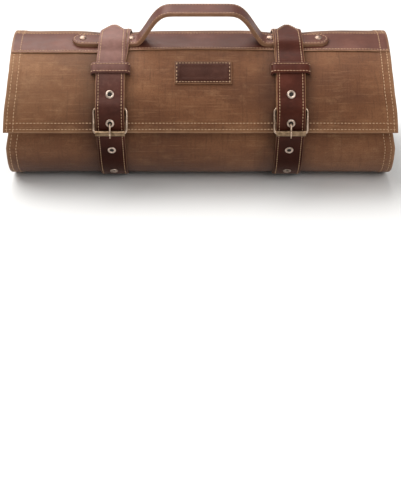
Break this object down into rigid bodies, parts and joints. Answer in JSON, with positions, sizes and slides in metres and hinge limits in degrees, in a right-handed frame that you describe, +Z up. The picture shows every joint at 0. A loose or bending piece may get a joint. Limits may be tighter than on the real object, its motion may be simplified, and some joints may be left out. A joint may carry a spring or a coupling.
{
  "type": "carving tool roll",
  "caption": "Waxed canvas tool roll with leather straps, roller buckles, carrying handle, zipped end pockets, tool pockets and a tool cover; it unrolls flat.",
  "frame": {"origin": "middle of the footprint, on the surface the closed roll stands on", "axes": "+X along the roll to the right, +Y to the back, -Y to the front with the buckles, +Z up towards the handle"},
  "size_m": [0.445, 0.1902, 0.1961],
  "materials": {
    "waxed_canvas": "matt waxed cotton",
    "lining_canvas": "matt cotton",
    "strap_leather": "oiled bridle leather",
    "band_leather": "oiled leather with a dull sheen",
    "antique_brass": "worn satin",
    "eyelet_metal": "pale satin",
    "zip_metal": "dull"
  },
  "bodies": {
    "flap_1": {"flap_panel_1": "waxed_canvas", "strap_1": "strap_leather"},
    "flap_2": {"flap_panel_2": "waxed_canvas", "strap_2": "strap_leather", "keepers": "strap_leather", "patch": "band_leather"},
    "flap_3": {"flap_panel_3": "waxed_canvas", "strap_3": "strap_leather", "zip_facing_flap": "lining_canvas", "zip_chain_flap": "zip_metal", "band": "band_leather", "handle_tabs": "band_leather", "rivets": "antique_brass"},
    "back_1": {"body_panel_1": "waxed_canvas", "pocket_1": "lining_canvas", "cover_1": "lining_canvas", "strap_4": "strap_leather"},
    "back_2": {"body_panel_2": "waxed_canvas", "pocket_2": "lining_canvas", "cover_2": "lining_canvas"},
    "back_3": {"body_panel_3": "waxed_canvas", "pocket_3": "lining_canvas", "cover_3": "lining_canvas"},
    "back_4": {"body_panel_4": "waxed_canvas", "pocket_4": "lining_canvas", "cover_4": "lining_canvas"},
    "base": {"body_panel_5": "waxed_canvas", "pocket_5": "lining_canvas", "cover_5": "lining_canvas"},
    "front_1": {"body_panel_6": "waxed_canvas", "pocket_6": "lining_canvas", "cover_6": "lining_canvas", "billet": "strap_leather"},
    "front_2": {"body_panel_7": "waxed_canvas", "pocket_7": "lining_canvas", "cover_7": "lining_canvas", "tail_1": "strap_leather", "eyelets_low": "eyelet_metal"},
    "lap_1": {"body_panel_8": "waxed_canvas", "pocket_8": "lining_canvas", "cover_8": "lining_canvas"},
    "end_1": {"end_panel_1": "waxed_canvas", "zip_facing_end": "lining_canvas", "zip_chain_end": "zip_metal"},
    "end_2": {"end_panel_2": "waxed_canvas"},
    "tail_mid": {"tail_2": "strap_leather", "eyelets_high": "eyelet_metal"},
    "tail_tip": {"tail_3": "strap_leather"},
    "grip": {"handle_grip": "band_leather"},
    "frame_l": {"buckle_l": "antique_brass"},
    "roller_l": {"roller_bar_l": "antique_brass"},
    "tongue_l": {"prong_l": "antique_brass"},
    "frame_r": {"buckle_r": "antique_brass"},
    "roller_r": {"roller_bar_r": "antique_brass"},
    "tongue_r": {"prong_r": "antique_brass"},
    "slide_flap": {"slider_flap": "zip_metal"},
    "zip_pull_flap": {"pull_flap": "zip_metal"},
    "slide_end": {"slider_end": "zip_metal"},
    "zip_pull_end": {"pull_end": "zip_metal"}
  },
  "joints": [
    {"name": "unroll", "type": "hinge", "parent": "base", "child": "front_1", "pos_m": [0, -0.01781, 0], "axis": [1, 0, 0], "range_deg": [0, 14.62], "deforming": ["tail_1", "tail_2", "tail_3", "eyelets_low", "eyelets_high"]},
    {"name": "bend_front_2", "type": "hinge", "parent": "front_1", "child": "front_2", "pos_m": [0, -0.05995, 0.01965], "axis": [1, 0, 0], "range_deg": [0, 44.62]},
    {"name": "bend_lap", "type": "hinge", "parent": "front_2", "child": "lap_1", "pos_m": [0, -0.07281, 0.055], "axis": [1, 0, 0], "range_deg": [0, 45.61]},
    {"name": "bend_end_1", "type": "hinge", "parent": "lap_1", "child": "end_1", "pos_m": [0, -0.04706, 0.1078], "axis": [1, 0, 0], "range_deg": [0, 51.52]},
    {"name": "bend_end_2", "type": "hinge", "parent": "end_1", "child": "end_2", "pos_m": [0, 0.01039, 0.12001], "axis": [1, 0, 0], "range_deg": [0, 51.52]},
    {"name": "bend_back_4", "type": "hinge", "parent": "base", "child": "back_4", "pos_m": [0, 0.03219, 0], "axis": [-1, 0, 0], "range_deg": [0, 12.96]},
    {"name": "bend_back_3", "type": "hinge", "parent": "back_4", "child": "back_3", "pos_m": [0, 0.07673, 0.01845], "axis": [-1, 0, 0], "range_deg": [0, 44.62]},
    {"name": "bend_back_2", "type": "hinge", "parent": "back_3", "child": "back_2", "pos_m": [0, 0.09519, 0.063], "axis": [-1, 0, 0], "range_deg": [0, 41.67]},
    {"name": "bend_back_1", "type": "hinge", "parent": "back_2", "child": "back_1", "pos_m": [0, 0.07535, 0.11901], "axis": [-1, 0, 0], "range_deg": [0, 38.22]},
    {"name": "bend_flap_3", "type": "hinge", "parent": "back_1", "child": "flap_3", "pos_m": [0, 0.02684, 0.15245], "axis": [-1, 0, 0], "range_deg": [0, 36.74]},
    {"name": "bend_flap_2", "type": "hinge", "parent": "flap_3", "child": "flap_2", "pos_m": [0, -0.02968, 0.1475], "axis": [-1, 0, 0], "range_deg": [0, 31.33]},
    {"name": "bend_flap_1", "type": "hinge", "parent": "flap_2", "child": "flap_1", "pos_m": [0, -0.06414, 0.12201], "axis": [-1, 0, 0], "range_deg": [0, 28.86]},
    {"name": "bend_tail_mid", "type": "hinge", "parent": "front_2", "child": "tail_mid", "pos_m": [0, -0.07968, 0.05899], "axis": [1, 0, 0], "range_deg": [0, 50.8]},
    {"name": "bend_tail_tip", "type": "hinge", "parent": "tail_mid", "child": "tail_tip", "pos_m": [0, -0.03542, 0.1483], "axis": [1, 0, 0], "range_deg": [0, 42.3]},
    {"name": "grip_lean", "type": "hinge", "parent": "flap_3", "child": "grip", "pos_m": [0, -0.00459, 0.16553], "axis": [1, 0, 0], "range_deg": [-70, 70]},
    {"name": "frame_tilt_l", "type": "hinge", "parent": "flap_1", "child": "frame_l", "pos_m": [-0.1005, -0.07597, 0.10486], "axis": [-1, 0, 0], "range_deg": [0, 50]},
    {"name": "roller_spin_l", "type": "hinge", "parent": "frame_l", "child": "roller_l", "pos_m": [-0.1005, -0.08968, 0.08025], "axis": [1, 0, 0], "continuous": true},
    {"name": "tongue_lift_l", "type": "hinge", "parent": "frame_l", "child": "tongue_l", "pos_m": [-0.1005, -0.07597, 0.10486], "axis": [-1, 0, 0], "range_deg": [0, 60]},
    {"name": "frame_tilt_r", "type": "hinge", "parent": "flap_1", "child": "frame_r", "pos_m": [0.1005, -0.07597, 0.10486], "axis": [-1, 0, 0], "range_deg": [0, 50]},
    {"name": "roller_spin_r", "type": "hinge", "parent": "frame_r", "child": "roller_r", "pos_m": [0.1005, -0.08968, 0.08025], "axis": [1, 0, 0], "continuous": true},
    {"name": "tongue_lift_r", "type": "hinge", "parent": "frame_r", "child": "tongue_r", "pos_m": [0.1005, -0.07597, 0.10486], "axis": [-1, 0, 0], "range_deg": [0, 60]},
    {"name": "zip_run_flap", "type": "slide", "parent": "flap_3", "child": "slide_flap", "axis": [-1, 0, 0], "range_m": [0, 0.336]},
    {"name": "pull_swing_flap", "type": "hinge", "parent": "slide_flap", "child": "zip_pull_flap", "pos_m": [0.168, -0.01312, 0.14043], "axis": [0, -0.9703, -0.2419], "range_deg": [0, 40]},
    {"name": "zip_run_end", "type": "slide", "parent": "end_1", "child": "slide_end", "axis": [1, 0, 0], "range_m": [0, 0.336]},
    {"name": "pull_swing_end", "type": "hinge", "parent": "slide_end", "child": "zip_pull_end", "pos_m": [-0.168, -0.02368, 0.10997], "axis": [0, 0.9511, 0.309], "range_deg": [0, 90]}
  ],
  "couplings": [
    {"joint": "bend_front_2", "follows": "unroll", "ratio": 3.0308},
    {"joint": "bend_lap", "follows": "unroll", "ratio": 3.0981},
    {"joint": "bend_end_1", "follows": "unroll", "ratio": 3.5022},
    {"joint": "bend_end_2", "follows": "unroll", "ratio": 3.5022},
    {"joint": "bend_back_4", "follows": "unroll", "ratio": 0.86585},
    {"joint": "bend_back_3", "follows": "unroll", "ratio": 3.0308},
    {"joint": "bend_back_2", "follows": "unroll", "ratio": 2.8287},
    {"joint": "bend_back_1", "follows": "unroll", "ratio": 2.593},
    {"joint": "bend_flap_3", "follows": "unroll", "ratio": 2.492},
    {"joint": "bend_flap_2", "follows": "unroll", "ratio": 2.1215},
    {"joint": "bend_flap_1", "follows": "unroll", "ratio": 1.9532},
    {"joint": "bend_tail_mid", "follows": "unroll", "ratio": 3.453},
    {"joint": "bend_tail_tip", "follows": "unroll", "ratio": 2.8718}
  ]
}
